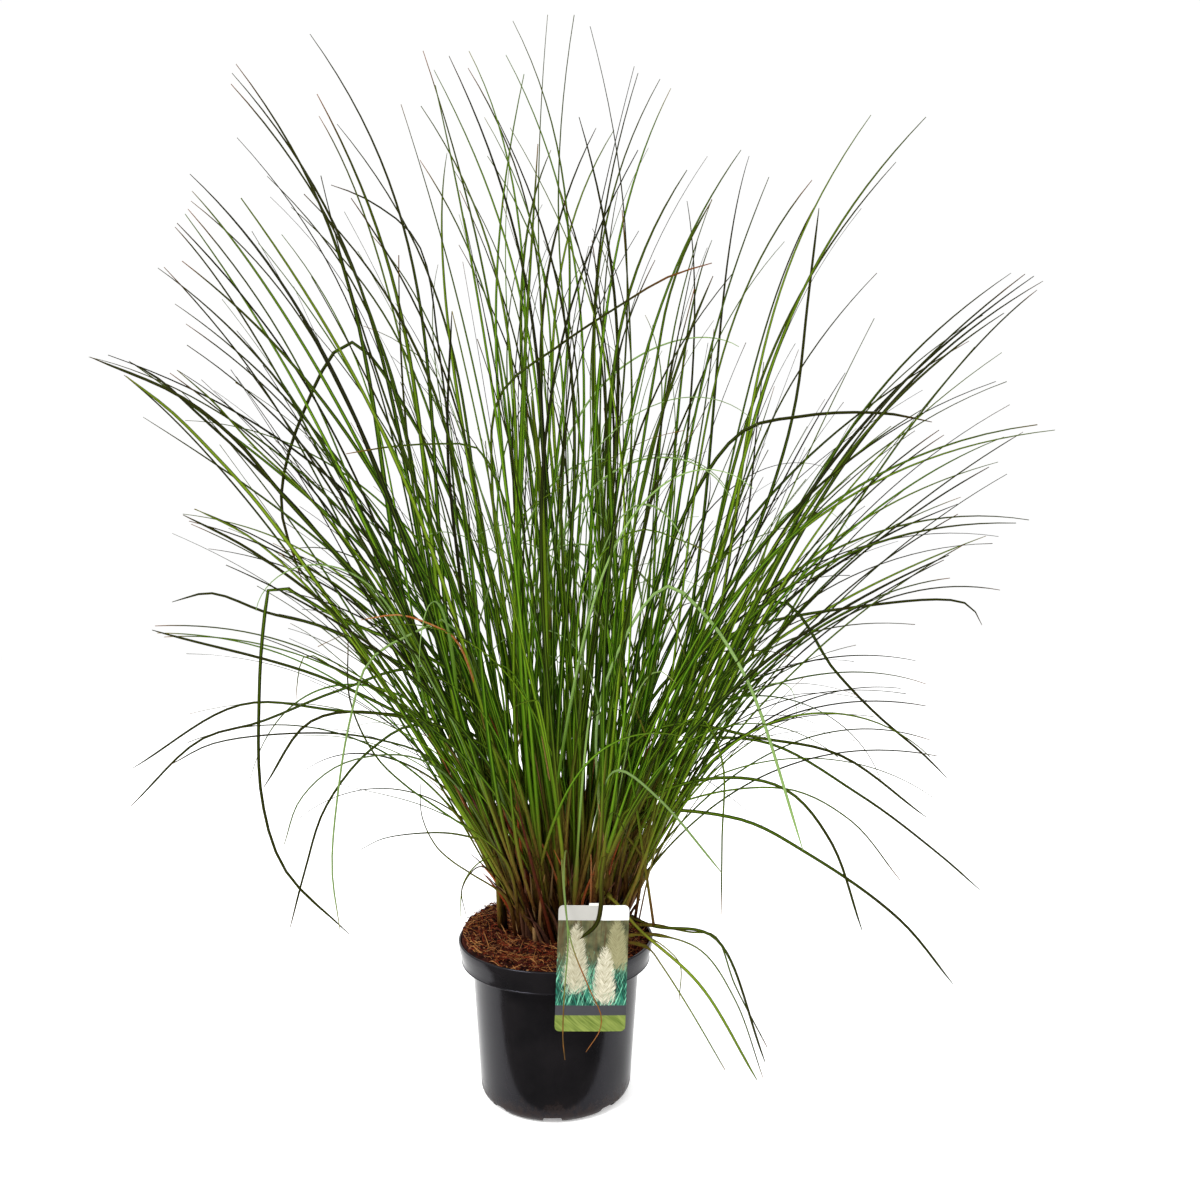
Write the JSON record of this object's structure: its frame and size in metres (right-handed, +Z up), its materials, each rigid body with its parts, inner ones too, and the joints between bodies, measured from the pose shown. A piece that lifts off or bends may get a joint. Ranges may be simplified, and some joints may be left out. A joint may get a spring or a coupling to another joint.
{
  "type": "potted pampas grass",
  "caption": "Tall clump of arching pampas grass leaves growing from soil in a round black nursery pot, with a plant label hooked over the rim, for a patio or garden.",
  "frame": {"origin": "middle of the pot's flat base, on the surface that it stands on", "axes": "+Z up along the pot's axis, -Y towards the plant's front, where the label hangs, +X to the right as seen from the front"},
  "size_m": [1.1813, 0.9178, 1.2071],
  "materials": {
    "pot_plastic": "moulded black polypropylene, glossy, a little dusty",
    "soil": "coarse brown coir and peat fibres, matt",
    "label_plastic": "printed white polypropylene card, satin",
    "grass_dark": "living grass leaf, dark green, finely ribbed, satin",
    "grass_mid": "living grass leaf, mid green, finely ribbed, satin",
    "grass_yellow": "living grass leaf, yellow green, finely ribbed, satin"
  },
  "bodies": {
    "root": {"nursery_pot": "pot_plastic", "plant_label": "label_plastic", "potting_soil": "soil", "shoot_01": "grass_dark", "shoot_02": "grass_mid", "shoot_03": "grass_yellow", "shoot_04": "grass_dark", "shoot_05": "grass_mid", "shoot_06": "grass_yellow", "shoot_07": "grass_dark", "shoot_08": "grass_mid", "shoot_09": "grass_yellow", "shoot_10": "grass_dark", "shoot_11": "grass_mid", "shoot_12": "grass_yellow", "shoot_13": "grass_dark", "shoot_14": "grass_mid", "shoot_15": "grass_yellow", "shoot_16": "grass_dark", "shoot_17": "grass_mid", "shoot_18": "grass_yellow", "shoot_19": "grass_dark", "shoot_20": "grass_mid", "shoot_21": "grass_yellow", "shoot_22": "grass_dark", "shoot_23": "grass_mid", "shoot_24": "grass_yellow", "shoot_25": "grass_dark", "shoot_26": "grass_mid", "shoot_27": "grass_yellow", "shoot_28": "grass_dark", "shoot_29": "grass_mid", "shoot_30": "grass_yellow", "shoot_31": "grass_dark", "shoot_32": "grass_mid", "shoot_33": "grass_yellow", "shoot_34": "grass_dark", "shoot_35": "grass_mid", "shoot_36": "grass_yellow", "shoot_37": "grass_dark", "shoot_38": "grass_mid", "shoot_39": "grass_yellow", "shoot_40": "grass_dark", "shoot_41": "grass_mid", "shoot_42": "grass_yellow", "shoot_43": "grass_dark", "shoot_44": "grass_mid", "shoot_45": "grass_yellow"}
  },
  "joints": []
}
